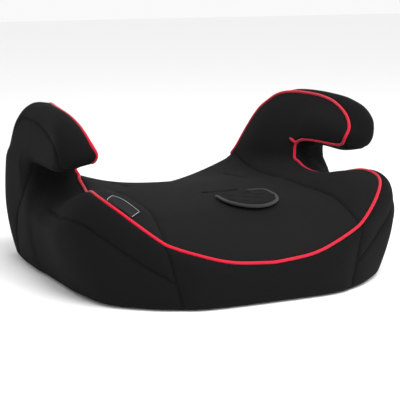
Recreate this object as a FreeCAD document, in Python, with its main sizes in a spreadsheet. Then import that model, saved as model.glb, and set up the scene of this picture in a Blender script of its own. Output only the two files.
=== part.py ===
"""Backless booster seat: a moulded base shell and two hooked arm frames under foam and a sewn cover.

Millimetres. X is the width (the seat is mirrored about X = 0), the front is -Y, Z is up.
The origin is on the floor, under the middle of the seat.
"""
import FreeCAD, Part
import math
import os
from FreeCAD import Placement, Rotation, Vector

# ---------------------------------------------------------------- driving sizes
SIZES = {
    "rim_height": 3.0,          # underside of the shell's walls, held up by the feet
    "deck_height": 60.0,        # top of the shell's deck
    "wall_thick": 3.0,
    "rib_thick": 1.8,
    "rib_pitch": 42.0,
    "foot_radius": 10.0,
    "frame_thick": 14.0,
    "frame_inner_x": 175.0,
    "screw_radius": 2.0,
    "screw_length": 26.0,
    "screw_head_radius": 4.0,
    "screw_head_high": 3.0,
    "screw_x": 178.0,
    "cover_thick": 3.0,
    "hem_bottom": 1.5,
    "hem_width": 19.0,
    "elastic_width": 2.4,
    "piping_radius": 2.2,
    "tab_long": 11.0,
    "flap_wide": 66.0,
    "flap_long": 63.0,
    "flap_thick": 6.0,
    "flap_rim": 3.0,
    "flap_middle_x": 10.0,
    "flap_hinge_y": -64.0,
    "flap_bottom": 103.0,
    "flap_droop": 7.0,          # degrees, from the hinge down to the tip
    "label_long": 36.0,
    "label_wide": 15.0,
    "label_thick": 0.8,
    "slit_wide": 4.0,
}

doc = FreeCAD.newDocument("booster_seat")
sheet = doc.addObject("Spreadsheet::Sheet", "Sizes")
for row, (alias, value) in enumerate(SIZES.items(), start=1):
    sheet.set(f"A{row}", alias)
    sheet.set(f"B{row}", str(value))
    sheet.setAlias(f"B{row}", alias)
doc.recompute()

FAR = 260.0                     # further out than any part of the seat
CRUMB = 0.02                    # a solid under this share of its piece is a sliver left by a cut
parts = []                      # every sub-part, in the order it is made


def size(alias):
    """A driving size, read from the sheet."""
    return float(sheet.get(alias))


# ---------------------------------------------------------------- helpers
def soft_part(label, shape, placement=None):
    """A sewn or foam piece whose free-form shape is made with Part's functions."""
    solids = [solid for solid in shape.Solids if solid.Volume > CRUMB * shape.Volume]
    piece = doc.addObject("Part::Feature", label)
    piece.Label = label
    piece.Shape = solids[0] if len(solids) == 1 else Part.makeCompound(solids)
    if placement:
        piece.Placement = placement
    parts.append(piece)
    return piece


def body_part(label):
    """A moulded piece, made of sketches and features."""
    body = doc.addObject("PartDesign::Body", label)
    body.Label = label
    parts.append(body)
    return body


def origin_plane(body, role):
    return next(f for f in body.Origin.OriginFeatures if f.Role == role)


def new_sketch(body, name, role, geometry, height=0.0):
    """A sketch on one of the body's own origin planes, raised by height."""
    sketch = body.newObject("Sketcher::SketchObject", name)
    sketch.AttachmentSupport = [(origin_plane(body, role), "")]
    sketch.MapMode = "FlatFace"
    sketch.AttachmentOffset = Placement(Vector(0, 0, height), Rotation())
    for edge in geometry:
        sketch.addGeometry(edge, False)
    return sketch


def new_feature(body, kind, name, profile, length_expression, reverse=False):
    """A Pad or Pocket whose length follows the sheet."""
    feature = body.newObject(kind, name)
    feature.Profile = profile
    feature.setExpression("Length", length_expression)
    feature.Reversed = reverse
    profile.Visibility = False
    doc.recompute()
    return feature


def closed_lines(points):
    """The straight edges of a closed polygon, as geometry for a sketch."""
    corners = [Vector(*p, 0) for p in points]
    return [Part.LineSegment(a, b) for a, b in zip(corners, corners[1:] + corners[:1])]


def prism(points, direction, place=lambda u, v: Vector(u, v, 0)):
    """A straight prism on a polygon of two-number points."""
    corners = [place(u, v) for u, v in points]
    return Part.Face(Part.makePolygon(corners + corners[:1])).extrude(direction)


def side_prism(points, x_low=-FAR, x_high=FAR):
    """A prism along X on a polygon of (y, z) points."""
    return prism(points, Vector(x_high - x_low, 0, 0), lambda y, z: Vector(x_low, y, z))


def block(x_low, y_low, z_low, x_high, y_high, z_high):
    return Part.makeBox(x_high - x_low, y_high - y_low, z_high - z_low, Vector(x_low, y_low, z_low))


def mirrored(points):
    """The same 3-D points on the other side of the seat."""
    return [(-x, y, z) for x, y, z in points]


# ---------------------------------------------------------------- the seat's outer form
# Half outlines in plan, as curve poles from the middle of the front to the middle of the rear, by height.
HULL_LEVELS = {
    0: [(0, -187), (76, -186), (142, -160), (181, -116), (190, -24), (194, 70), (192, 172), (164, 187), (80, 187),
        (0, 187)],
    80: [(0, -187), (76, -185), (144, -163), (203, -119), (209, -24), (213, 70), (210, 172), (172, 187), (80, 187),
         (0, 187)],
    124: [(0, -178), (70, -175), (138, -158), (189, -119), (200, -24), (209, 70), (207, 170), (168, 187), (80, 187),
          (0, 187)],
    206: [(0, -168), (70, -165), (136, -152), (193, -119), (200, -24), (203, 70), (197, 150), (155, 176), (75, 180),
          (0, 180)],
}
REACH = 200.0                   # the outlines' mean half width, for scaling them inwards

# Across the seat at one place along it: y, height at the middle, then x and z of the seat's seam,
# of the lip of the side panel, and of the top of the inner wall.
FRONT_STATIONS = [
    (-230.0, -20, 120, 10, 150, 40, FAR, 100),
    (-184.5, 48, 120, 64, 150, 84, FAR, 110),
    (-169.0, 66, 120, 76, 150, 90, FAR, 118),
    (-152.0, 79, 120, 88, 150, 96.5, FAR, 124),
    (-126.0, 92, 117.5, 96.5, 174, 117, FAR, 126),
    (-108.0, 96.5, 116.5, 99, 178, 122.7, FAR, 127),
    (-85.0, 99.5, 115.5, 100.5, 177, 124, FAR, 128),
    (-66.0, 100.7, 114.6, 101, 172.5, 120, FAR, 129),
]
REAR_STATIONS = [
    (-66.0, 100.7, 114.6, 101, 172.5, 120, 173, 176),
    (-36.0, 101, 114.2, 102.5, 164.6, 111, 174, 190),
    (-12.0, 101.3, 114, 103, 157, 108, 174.5, 196),
    (11.0, 101, 114.8, 102.5, 152, 110, 174.6, 199),
    (43.0, 98, 118, 99, 150, 118, 173.5, 204),
    (75.0, 94.5, 121, 98.5, 146, 115, 168.5, 205),
    (110.0, 88.5, 124, 99.5, 140, 112, 160.5, 199),
    (149.0, 79, 127, 101.5, 133, 107, 148, 171),
    (188.0, 71, 130, 104, 131, 107, 132, 112),
    (230.0, 62, 132, 104, 133, 107, 134, 112),
]


def hull(inset, bottom):
    """The seat's plan form, lofted from the floor to the top of the arms."""
    wires = []
    for height, half in HULL_LEVELS.items():
        scale = 1 - inset / REACH
        right = [Vector(x * scale, y * scale, height) for x, y in half]
        left = [Vector(-p.x, p.y, p.z) for p in right[-2:0:-1]]
        curve = Part.BSplineCurve()
        curve.buildFromPoles(right + left, True, 3)
        wires.append(Part.Wire(curve.toShape()))
    solid = Part.makeLoft(wires, True, False)
    return solid.common(block(-FAR, -FAR, bottom, FAR, FAR, FAR))


def arm_profile(inset):
    """The side view: horn, belt slot and lip, as a closed prism across the seat."""
    def p(y, z):
        return Vector(0, y, z)

    edges = [
        Part.LineSegment(p(240, -20), p(240, 43)),
        Part.LineSegment(p(240, 43), p(128, 185)),
        Part.Arc(p(128, 185), p(90, 204), p(40, 205)),
        Part.Arc(p(40, 205), p(0, 199), p(-40, 187)),
        Part.Arc(p(-40, 187), p(-64, 168), p(-50, 149)),
        Part.LineSegment(p(-50, 149), p(26, 145)),
        Part.Arc(p(26, 145), p(43, 129), p(26, 112)),
        Part.Arc(p(26, 112), p(-20, 107), p(-62, 119)),
        Part.LineSegment(p(-62, 119), p(-82, 136)),
        Part.LineSegment(p(-82, 136), p(-240, 136)),
        Part.LineSegment(p(-240, 136), p(-240, -20)),
        Part.LineSegment(p(-240, -20), p(240, -20)),
    ]
    wire = Part.Wire([edge.toShape() for edge in edges])
    if inset:
        wire = wire.makeOffset2D(-inset)
    face = Part.Face(wire)
    face.translate(Vector(-FAR, 0, 0))
    return face.extrude(Vector(2 * FAR, 0, 0))


def station_wire(station, grow, armed):
    """One section of the space above the seat, grown into the seat by grow."""
    y, mid, seam_x, seam_z, rim_x, rim_z, top_x, top_z = station
    side = grow if armed else 0.0
    drop = 0.0 if armed else grow
    rise = seam_z - mid
    seat = [Vector(seam_x * t, y, mid + rise * t * t - grow) for t in (-1, -0.5, 0, 0.5, 1)]
    curve = Part.BSplineCurve()
    curve.interpolate(seat)
    right = [
        seat[-1],
        Vector(rim_x + side, y, rim_z - grow),
        Vector(top_x + side, y, top_z - drop),
        Vector(top_x + side, y, 2 * FAR),
    ]
    left = [Vector(-v.x, v.y, v.z) for v in reversed(right)]
    outline = right + left
    lines = [Part.LineSegment(a, b).toShape() for a, b in zip(outline, outline[1:])]
    return Part.Wire([curve.toShape()] + lines)


def seat_space(grow):
    """All that is above the seat and between the arms."""
    front = Part.makeLoft([station_wire(s, grow, False) for s in FRONT_STATIONS], True, True)
    rear = Part.makeLoft([station_wire(s, grow, True) for s in REAR_STATIONS], True, True)
    return front, rear


def cut_all(shape, tools):
    for tool in tools:
        shape = shape.cut(tool)
    return shape


# ---------------------------------------------------------------- piping, tabs and slits
ARM_PIPING = [
    (129, 186, 109), (148, 149, 171), (158, 120, 195), (165, 90, 204), (171, 61, 205), (174.5, 31, 202),
    (174.6, 1, 198), (173, -28, 192), (170.7, -52, 182), (167, -64, 170), (164, -61, 153), (161, -44, 147),
    (159, -13, 146.5), (154, 30, 144),
]
FRONT_PIPING = [
    (151, 34, 122), (151, 26, 113), (153, 8, 109), (157, -12, 108), (164.6, -36, 111), (171.7, -60, 118.6),
    (177, -85, 124), (178.4, -108, 122.7), (174, -126, 117), (164.5, -139, 109), (150, -152, 96.5),
    (130.5, -161.6, 82), (107.7, -169, 69), (82.7, -176, 61), (51, -182, 53), (20, -184.2, 48.5),
]


def tube(points, radius):
    """A round tube on straight runs joined by tangent arcs."""
    route = [Vector(*p) for p in points]
    edges = []
    start = route[0]
    for before, corner, after in zip(route, route[1:], route[2:]):
        back = (before - corner).normalize()
        ahead = (after - corner).normalize()
        reach = 0.45 * min((before - corner).Length, (after - corner).Length)
        into = corner + back * reach
        out = corner + ahead * reach
        half_angle = back.getAngle(ahead) / 2
        bend_radius = reach * math.tan(half_angle)
        bisector = (back + ahead).normalize()
        middle = corner + bisector * (bend_radius / math.sin(half_angle) - bend_radius)
        edges.append(Part.LineSegment(start, into).toShape())
        edges.append(Part.Arc(into, middle, out).toShape())
        start = out
    edges.append(Part.LineSegment(start, route[-1]).toShape())
    section = Part.Wire(Part.Circle(route[0], route[1] - route[0], radius).toShape())
    return Part.Wire(edges).makePipeShell([section], True, False)


def tab_shape(side):
    """The folded tab that covers the ends of the piping at the belt slot's inner end."""
    wide, length, high = 3.0, size("tab_long"), 5.0
    tab = Part.makeBox(wide, length, high, Vector(-wide / 2, -2, -high / 2))
    tab.rotate(Vector(), Vector(1, 0, 0), 25)
    tab.translate(Vector(side * 151, 36, 136))
    return tab


def slit_shape(x_mid, y_mid, length, along_y):
    """A flat bound slit let into the seat panel."""
    wide = size("slit_wide")
    across, along = (wide, length) if along_y else (length, wide)
    return block(x_mid - across / 2, y_mid - along / 2, 80, x_mid + across / 2, y_mid + along / 2, 110)


# ---------------------------------------------------------------- moulded shell
def shell_half(inset):
    """Corner points of the shell's plan, right-hand side, front to rear."""
    return [(124 - inset * 0.7, -148 + inset * 0.7), (167 - inset, -100), (185 - inset, -20),
            (186 - inset, 140), (160 - inset * 0.4, 172 - inset)]


def shell_edges(inset):
    half = [Vector(x, y, 0) for x, y in shell_half(inset)]
    left = [Vector(-p.x, p.y, 0) for p in half]
    nose = Part.Arc(left[0], Vector(0, -174 + inset, 0), half[0])
    edges = [nose]
    for a, b in zip(half, half[1:]):
        edges.append(Part.LineSegment(a, b))
    edges.append(Part.LineSegment(half[-1], left[-1]))
    for a, b in zip(left[:0:-1], left[-2::-1]):
        edges.append(Part.LineSegment(a, b))
    return edges


def shell_solid(inset, z_low, z_high):
    """The block of space that the shell takes up."""
    wire = Part.Wire([edge.toShape() for edge in shell_edges(inset)])
    face = Part.Face(wire)
    face.translate(Vector(0, 0, z_low))
    return face.extrude(Vector(0, 0, z_high - z_low))


def rib_span(across_y, offset, reach):
    """Both ends of a rib inside the shell's walls."""
    inner = Part.Face(Part.Wire([edge.toShape() for edge in shell_edges(reach)]))
    if across_y:
        ray = Part.makeLine(Vector(offset, -FAR, 0), Vector(offset, FAR, 0))
        ends = sorted(v.Point.y for v in inner.common(ray).Vertexes)
    else:
        ray = Part.makeLine(Vector(-FAR, offset, 0), Vector(FAR, offset, 0))
        ends = sorted(v.Point.x for v in inner.common(ray).Vertexes)
    return ends[0], ends[-1]


SCREW_Y = (-12.0, 48.0, 126.0)


def make_base_shell():
    shell = body_part("base_shell")
    outline = new_sketch(shell, "shell_outline", "XY_Plane", shell_edges(0), size("rim_height"))
    new_feature(shell, "PartDesign::Pad", "shell_block", outline, "Sizes.deck_height - Sizes.rim_height")
    inside = new_sketch(shell, "shell_inside", "XY_Plane", shell_edges(size("wall_thick")), size("rim_height"))
    new_feature(shell, "PartDesign::Pocket", "shell_hollow", inside,
                "Sizes.deck_height - Sizes.rim_height - Sizes.wall_thick", True)
    pitch = size("rib_pitch")
    half = size("rib_thick") / 2
    reach = size("wall_thick") * 0.5
    rib_length = "Sizes.deck_height - Sizes.rim_height - Sizes.wall_thick / 2"
    for index in range(-4, 4):
        x = (index + 0.5) * pitch
        low, high = rib_span(True, x, reach + half)
        corners = [(x - half, low), (x + half, low), (x + half, high), (x - half, high)]
        rib = new_sketch(shell, f"long_rib_{index + 5}", "XY_Plane", closed_lines(corners), size("rim_height"))
        new_feature(shell, "PartDesign::Pad", f"long_rib_pad_{index + 5}", rib, rib_length)
    for index in range(-4, 4):
        y = (index + 0.5) * pitch
        low, high = rib_span(False, y, reach + half)
        corners = [(low, y - half), (high, y - half), (high, y + half), (low, y + half)]
        rib = new_sketch(shell, f"cross_rib_{index + 5}", "XY_Plane", closed_lines(corners), size("rim_height"))
        new_feature(shell, "PartDesign::Pad", f"cross_rib_pad_{index + 5}", rib, rib_length)
    feet = [
        Part.Circle(Vector(side * 3.5 * pitch, step * pitch, 0), Vector(0, 0, 1), size("foot_radius"))
        for side in (-1, 1) for step in (-1.5, 0.5, 2.5)
    ]
    feet.append(Part.Circle(Vector(0.5 * pitch, -3.5 * pitch, 0), Vector(0, 0, 1), size("foot_radius")))
    feet.append(Part.Circle(Vector(-0.5 * pitch, -3.5 * pitch, 0), Vector(0, 0, 1), size("foot_radius")))
    foot_sketch = new_sketch(shell, "feet", "XY_Plane", feet)
    new_feature(shell, "PartDesign::Pad", "foot_pads", foot_sketch, "Sizes.rim_height")
    holes = [
        Part.Circle(Vector(side * size("screw_x"), y, 0), Vector(0, 0, 1), size("screw_radius") + 0.3)
        for side in (-1, 1) for y in SCREW_Y
    ]
    hole_sketch = new_sketch(shell, "screw_holes", "XY_Plane", holes, size("deck_height") + 1)
    new_feature(shell, "PartDesign::Pocket", "screw_clearance", hole_sketch, "Sizes.wall_thick + 2")
    return shell


# ---------------------------------------------------------------- arm frames and their screws
FRAME_OUTLINE = [
    (-70, 60), (150, 60), (150, 106), (112, 176), (88, 190), (40, 191), (0, 185), (-38, 174), (-49, 166),
    (-42, 160), (34, 158), (54, 144), (58, 126), (48, 106), (30, 97), (-20, 94), (-55, 99), (-70, 96),
]
FRAME_WINDOW = [(66, 80), (132, 80), (132, 104), (104, 156), (80, 168), (68, 160), (72, 130)]


def make_arm_frame(name, side):
    frame = body_part(name)
    outline = new_sketch(frame, f"{name}_outline", "YZ_Plane", closed_lines(FRAME_OUTLINE))
    new_feature(frame, "PartDesign::Pad", f"{name}_plate", outline, "Sizes.frame_thick", side < 0)
    window = new_sketch(frame, f"{name}_window", "YZ_Plane", closed_lines(FRAME_WINDOW))
    pocket = new_feature(frame, "PartDesign::Pocket", f"{name}_opening", window, "2 * Sizes.frame_thick")
    pocket.Midplane = True
    pilots = [
        Part.Circle(Vector(side * (size("screw_x") - size("frame_inner_x")), y, 0), Vector(0, 0, 1),
                    size("screw_radius"))
        for y in SCREW_Y
    ]
    pilot_sketch = new_sketch(frame, f"{name}_pilots", "XY_Plane", pilots, size("deck_height") - 1)
    new_feature(frame, "PartDesign::Pocket", f"{name}_pilot_holes", pilot_sketch, "Sizes.screw_length", True)
    frame.Placement = Placement(Vector(side * size("frame_inner_x"), 0, 0), Rotation())
    return frame


def make_screws(name, side):
    """Three pan-head screws, driven up through the deck into the frame's foot."""
    screws = []
    for number, y in enumerate(SCREW_Y, start=1):
        shank = doc.addObject("Part::Cylinder", f"{name}_shank_{number}")
        shank.setExpression("Radius", "Sizes.screw_radius")
        shank.setExpression("Height", "Sizes.screw_length")
        head = doc.addObject("Part::Cylinder", f"{name}_head_{number}")
        head.setExpression("Radius", "Sizes.screw_head_radius")
        head.setExpression("Height", "Sizes.screw_head_high")
        under_deck = size("deck_height") - size("wall_thick")
        shank.Placement = Placement(Vector(side * size("screw_x"), y, under_deck - 0.5), Rotation())
        head.Placement = Placement(
            Vector(side * size("screw_x"), y, under_deck - size("screw_head_high")), Rotation())
        screws += [shank, head]
    group = doc.addObject("Part::MultiFuse", name)
    group.Label = name
    group.Shapes = screws
    parts.append(group)
    return group


# ---------------------------------------------------------------- flap and label
def flap_outline(margin):
    """The flap's plan, from its sewn rear edge to its rounded tip, as one face."""
    half = size("flap_wide") / 2 - margin
    tip = margin - size("flap_long")
    shoulder = tip + half
    edges = [
        Part.LineSegment(Vector(half, 0, 0), Vector(-half, 0, 0)),
        Part.LineSegment(Vector(-half, 0, 0), Vector(-half, shoulder, 0)),
        Part.Arc(Vector(-half, shoulder, 0), Vector(0, tip, 0), Vector(half, shoulder, 0)),
        Part.LineSegment(Vector(half, shoulder, 0), Vector(half, 0, 0)),
    ]
    return Part.Face(Part.Wire([edge.toShape() for edge in edges]))


def make_flap():
    """The padded flap and its bound edge, lying on the seat from its sewn rear edge."""
    upward = Vector(0, 0, size("flap_thick"))
    hinge = Vector(size("flap_middle_x"), size("flap_hinge_y"), size("flap_bottom"))
    pad_face = flap_outline(size("flap_rim"))
    rim_face = flap_outline(0).cut(pad_face)
    for label, face in (("flap_pad", pad_face), ("flap_binding", rim_face)):
        piece = face.extrude(upward)
        piece.rotate(Vector(), Vector(1, 0, 0), size("flap_droop"))
        piece.translate(hinge)
        soft_part(label, piece)


LABEL_START = Vector(-172, -128.5, 118.5)
LABEL_END = Vector(-155, -147, 103.5)
LABEL_INWARD = Vector(47, 17, -12)


def make_label():
    """A plain woven label, sewn by its long edge into the front piping's seam."""
    along = (LABEL_END - LABEL_START).normalize()
    inward = (LABEL_INWARD - along * LABEL_INWARD.dot(along)).normalize()
    normal = inward.cross(along)
    if normal.z < 0:
        normal = normal * -1
    length = size("label_long")
    start = (LABEL_START + LABEL_END) * 0.5 - along * (length / 2) + normal * 2.5 + inward * 3
    corners = [start, start + along * length]
    corners += [c + inward * size("label_wide") for c in reversed(corners)]
    face = Part.Face(Part.makePolygon(corners + corners[:1]))
    soft_part("side_label", face.extrude(normal * size("label_thick")))


# ---------------------------------------------------------------- cover and foam
def diagonal_region(side):
    """All that lies under the diagonal seam on one side."""
    points = [(-FAR, -10), (-169, 26), (0, 92), (110, 97), (FAR, 97), (FAR, -30), (-FAR, -30)]
    return side_prism(points, 0, FAR) if side > 0 else side_prism(points, -FAR, 0)


def rear_region():
    """The arm's outer side: the horn, and all behind the seam from the belt slot's end to the floor."""
    return side_prism([(-90, 132), (45, 132), (72, 110), (115, 80), (145, 45), (160, -20), (FAR, -20),
                       (FAR, 240), (-90, 240)])


def front_region(y_rear):
    """The front skirt's share: between the two upright seams."""
    low, high = 106.5, 147.5
    points = [(-low, 0), (low, 0), (high, 168), (-high, 168)]
    return prism(points, Vector(0, y_rear + FAR, 0), lambda x, z: Vector(x, -FAR, z))


def seat_panel_region():
    """Plan of the seat panel, inside its two long seams."""
    half = [(124, -215), (126, -164), (117, -117), (114.6, -65), (114, -15), (118.6, 50), (130, 200)]
    points = half + [(-x, y) for x, y in reversed(half)]
    return prism(points, Vector(0, 0, 2 * FAR), lambda x, y: Vector(x, y, 0))


def make_soft_parts(hard_shapes):
    """The cover's panels are a skin cut up along its seams, and the foam fills what is left."""
    thick = size("cover_thick")
    bottom = size("hem_bottom")
    right_half = block(0, -FAR, -10, FAR, FAR, FAR)
    left_half = block(-FAR, -FAR, -10, 0, FAR, FAR)
    sides = (("left", -1, left_half), ("right", 1, right_half))

    form = hull(0, bottom).common(arm_profile(0))
    form = cut_all(form, seat_space(0))

    piping_radius = size("piping_radius")
    for name, side, _ in sides:
        points = ARM_PIPING if side > 0 else mirrored(ARM_PIPING)
        arm_tube = tube(points, piping_radius)
        soft_part(f"piping_arm_{name}", arm_tube)
        form = form.cut(arm_tube)
    front_tube = tube(FRONT_PIPING + mirrored(FRONT_PIPING)[::-1], piping_radius)
    soft_part("piping_front", front_tube)
    form = form.cut(front_tube)
    for name, side, _ in sides:
        tab = cut_all(tab_shape(side), [front_tube])
        soft_part(f"piping_tab_{name}", tab)
        form = form.cut(tab)

    grown = seat_space(thick)
    top_skin = cut_all(form.common(grown[0]).fuse(form.common(grown[1])), hard_shapes)
    rest = cut_all(form, grown)
    inner_profile = arm_profile(thick)
    band_skin = rest.cut(inner_profile)
    rest = rest.common(inner_profile)
    side_skin = cut_all(rest.cut(hull(thick, 0)), hard_shapes)
    core = cut_all(rest.common(hull(thick, size("rim_height"))), hard_shapes)

    slits = {
        "slit_centre": slit_shape(0, -44, 46, False),
        "slit_left": slit_shape(-80, 76, 62, True),
        "slit_right": slit_shape(80, 76, 62, True),
    }
    seat_zone = seat_panel_region()
    seat_panel = top_skin.common(seat_zone)
    for label, slit in slits.items():
        soft_part(label, seat_panel.common(slit))
    soft_part("cover_seat_panel", cut_all(seat_panel, slits.values()))
    inner_panels = top_skin.cut(seat_zone)

    slot_box = block(-FAR, -90, 100, FAR, 60, 150)
    front = front_region(-100)
    behind = rear_region()
    front_skirt = side_skin.common(front)
    soft_part("cover_front_skirt", front_skirt)
    flanks = side_skin.cut(front)
    rear_middle = block(-150, 150, -10, 150, FAR, FAR)
    soft_part("cover_rear_panel", flanks.common(rear_middle))
    flanks = flanks.cut(rear_middle)
    for name, side, half in sides:
        soft_part(f"cover_arm_inner_{name}", inner_panels.common(half))
        band = band_skin.common(half)
        soft_part(f"cover_slot_lining_{name}", band.common(slot_box))
        soft_part(f"cover_arm_band_{name}", band.cut(slot_box))
        flank = flanks.common(half)
        soft_part(f"cover_arm_outer_{name}", flank.common(behind))
        flank = flank.cut(behind)
        under = diagonal_region(side)
        soft_part(f"cover_side_lower_{name}", flank.common(under))
        soft_part(f"cover_side_upper_{name}", flank.cut(under))

    nose = front_region(-120).common(block(-FAR, -FAR, -10, FAR, -120, 300))
    soft_part("front_foam", core.common(nose))
    core = core.cut(nose)
    middle = block(-115, -FAR, -10, 115, FAR, 300)
    soft_part("seat_foam", core.common(middle))
    core = core.cut(middle)
    slot_floor = block(-FAR, -FAR, 104, FAR, FAR, 300)
    for name, side, half in sides:
        soft_part(f"arm_foam_{name}", core.common(half).common(slot_floor))
        soft_part(f"side_foam_{name}", core.common(half).cut(slot_floor))


def make_hem():
    """The cover's edge, turned in under the shell's rim, and the elastic in it."""
    low, high = size("hem_bottom"), size("rim_height")
    outer_inset = size("cover_thick")
    inner_inset = outer_inset + size("hem_width")
    slab = block(-FAR, -FAR, low, FAR, FAR, high)
    outer = hull(outer_inset, 0).common(slab)
    inner = hull(inner_inset, 0).common(slab)
    edge = hull(inner_inset + size("elastic_width"), 0).common(slab)
    soft_part("cover_hem", outer.cut(inner))
    soft_part("hem_elastic", inner.cut(edge))


def main():
    shell = make_base_shell()
    frames = [make_arm_frame(f"arm_frame_{name}", side) for name, side in (("left", -1), ("right", 1))]
    for name, side in (("left", -1), ("right", 1)):
        make_screws(f"arm_screws_{name}", side)
    doc.recompute()
    space = shell_solid(0, 0, size("deck_height"))
    filled_frames = []
    for frame, side in zip(frames, (-1, 1)):
        x_low = side * size("frame_inner_x")
        x_high = x_low + side * size("frame_thick")
        filled_frames.append(side_prism(FRAME_OUTLINE, x_low, x_high))
    make_soft_parts([space] + filled_frames)
    make_hem()
    make_flap()
    make_label()
    doc.recompute()
    for item in doc.Objects:
        if "Invalid" in item.State or "Error" in item.State:
            raise RuntimeError(f"{item.Label} failed")
    for piece in parts:
        if piece.Shape.isNull() or not piece.Shape.isValid():
            raise RuntimeError(f"{piece.Label} has no valid shape")
    os.makedirs("parts", exist_ok=True)
    for piece in parts:
        piece.Shape.exportStep(f"parts/{piece.Label}.step")
        print(f"{piece.Label:24s} {piece.Shape.Volume / 1000:9.2f} cm3  {len(piece.Shape.Solids)} solids")


main()
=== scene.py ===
"""Backless booster seat: the looks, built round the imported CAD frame.

The cover's whole outer form is one smooth field on a grid. Its surface is drawn once, cut along the
seams into panels, carved and puffed by the distance to the nearest seam, and each panel is closed
to a laminate of its real thickness. Lengths in this script are millimetres until a mesh is made.
"""
import math

import bmesh
import bpy
import numpy as np
from mathutils import Matrix, Vector
from mathutils.bvhtree import BVHTree
from mathutils.kdtree import KDTree


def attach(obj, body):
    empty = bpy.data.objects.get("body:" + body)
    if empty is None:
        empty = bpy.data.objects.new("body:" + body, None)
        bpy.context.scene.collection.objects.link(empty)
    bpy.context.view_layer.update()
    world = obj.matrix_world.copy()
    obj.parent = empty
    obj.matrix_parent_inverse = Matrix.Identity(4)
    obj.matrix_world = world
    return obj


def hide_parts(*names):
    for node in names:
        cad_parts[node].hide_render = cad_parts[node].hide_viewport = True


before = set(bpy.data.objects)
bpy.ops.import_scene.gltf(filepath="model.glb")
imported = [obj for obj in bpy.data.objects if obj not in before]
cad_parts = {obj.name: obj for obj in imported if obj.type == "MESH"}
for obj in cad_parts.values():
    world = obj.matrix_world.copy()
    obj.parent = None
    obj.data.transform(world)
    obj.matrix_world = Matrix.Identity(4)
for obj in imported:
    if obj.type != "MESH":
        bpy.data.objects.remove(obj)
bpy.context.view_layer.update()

MM = 0.001
STEP = 2.2          # the grid's pitch
LAMINATE = 2.2                             # the cover's thickness
FLOOR_GAP = 1.5                            # the cover's lower edge above the floor
PIPING_RADIUS = 1.85

# ------------------------------------------------------------ the seat's form, right-hand half
# Plan outlines, front middle to rear middle: at the floor, and at the bulge.
FLOOR_PLAN = [
    (0, -187), (76, -185.5), (110, -174), (140, -155), (173, -121), (186, -72), (191, -10), (194, 80),
    (191, 145), (168, 180), (90, 187), (0, 187),
]
BULGE_PLAN = [
    (0, -187.5), (76, -185), (112, -175), (148, -159), (192, -129), (212.5, -75), (209.5, 0), (208, 85),
    (205, 148), (180, 181), (95, 187.5), (0, 187.5),
]
BULGE_HEIGHT = 84.0
# The front rim, where the front piping runs: x, y, z.
RIM = [
    (0, -184.5, 48), (51, -182, 53), (82.7, -176, 61), (107.7, -169, 69), (130.5, -161.6, 82),
    (150, -151, 96.5), (164.5, -139, 109), (174, -126, 117), (178.4, -108, 122.7), (177, -85, 124),
    (171.7, -60, 118.6), (164.6, -36, 111), (157, -12, 108), (152, 11, 110), (151, 35, 117),
]
# Along the seat: y, the height in the middle, the seam's x and z, and the rise of the side beyond it.
SEAT_SECTIONS = [
    (-240, -30, 122, -24, 0.45), (-200, 27, 122, 31, 0.45), (-184.5, 48, 122, 53, 0.45),
    (-169, 66, 122, 70, 0.45), (-152, 79, 121, 83, 0.45), (-126, 91.5, 118, 95, 0.42),
    (-108, 96.5, 116.8, 99, 0.38), (-85, 99.5, 115.5, 101, 0.38), (-60, 101, 114.5, 101.5, 0.31),
    (-36, 101.5, 114.1, 102.5, 0.17), (-12, 101.5, 114, 103, 0.12), (11, 100.5, 114.8, 102.5, 0.2),
    (40, 98, 117.5, 100, 0.5), (75, 94, 121, 98.5, 0.62), (110, 88, 124, 99, 0.75),
    (149, 79, 127, 103, 0.9), (187, 71, 130, 107, 1.0), (240, 60, 134, 105, 1.0),
]
# The inner wall of the arm: y, then x and z at its foot and at its top.
ARM_WALL = [
    (-70, 163.5, 150, 166, 165), (-52, 162, 148, 170.7, 182), (-28, 160.5, 147, 173, 192),
    (1, 157.5, 146, 174.6, 198), (30, 153, 140, 174.5, 202), (48, 149.5, 118, 172.8, 204),
    (75, 146, 115, 168.3, 205), (100, 142, 113, 163, 202), (120, 138, 111, 158, 195),
    (149, 133, 108, 148, 171), (175, 130, 106, 135.5, 128), (190, 129, 104, 129, 106),
    (240, 129, 60, 130, 70),
]
# The arm seen from the side, inner and outer face: horn, belt slot, sloping rear edge (y, z).
ARM_INNER_OUTLINE = [
    (30, -60), (30, 60), (31, 108), (36, 117), (43, 128), (43.5, 137), (37, 144), (15, 146),
    (-13, 146.5), (-46, 147.5), (-60, 153), (-66, 163), (-63, 173), (-52, 182), (-28, 191.5), (1, 198),
    (31, 202.5), (61, 205), (88, 204), (108, 199.5), (123, 191.5), (149, 170), (187, 111), (230, 45),
    (230, -60),
]
ARM_OUTER_OUTLINE = [
    (43, -60), (43, 60), (44, 100), (49, 111), (54, 120), (53, 130), (44, 135.5), (5, 137), (-25, 139),
    (-48, 142.5), (-61, 152), (-66, 166), (-64, 182), (-50, 195), (-30, 202), (-8, 206), (38, 208),
    (82, 205.5), (105, 200), (122, 191), (147, 170), (186, 113), (230, 45), (230, -60),
]
HORN_INNER_X, HORN_OUTER_X = 163.0, 190.0   # between them, the inner outline turns into the outer one
REAR_TURN = math.radians(112)               # past here the arm hides the rim
GRID_SPAN = ((0, 226), (-198, 200), (-6, 216))
# How far each meeting of two faces is rounded.
SEAT_ROUND, HORN_ROUND, WALL_ROUND, ARM_ROUND, FLOOR_ROUND = 4, 17, 4, 9, 5


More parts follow.
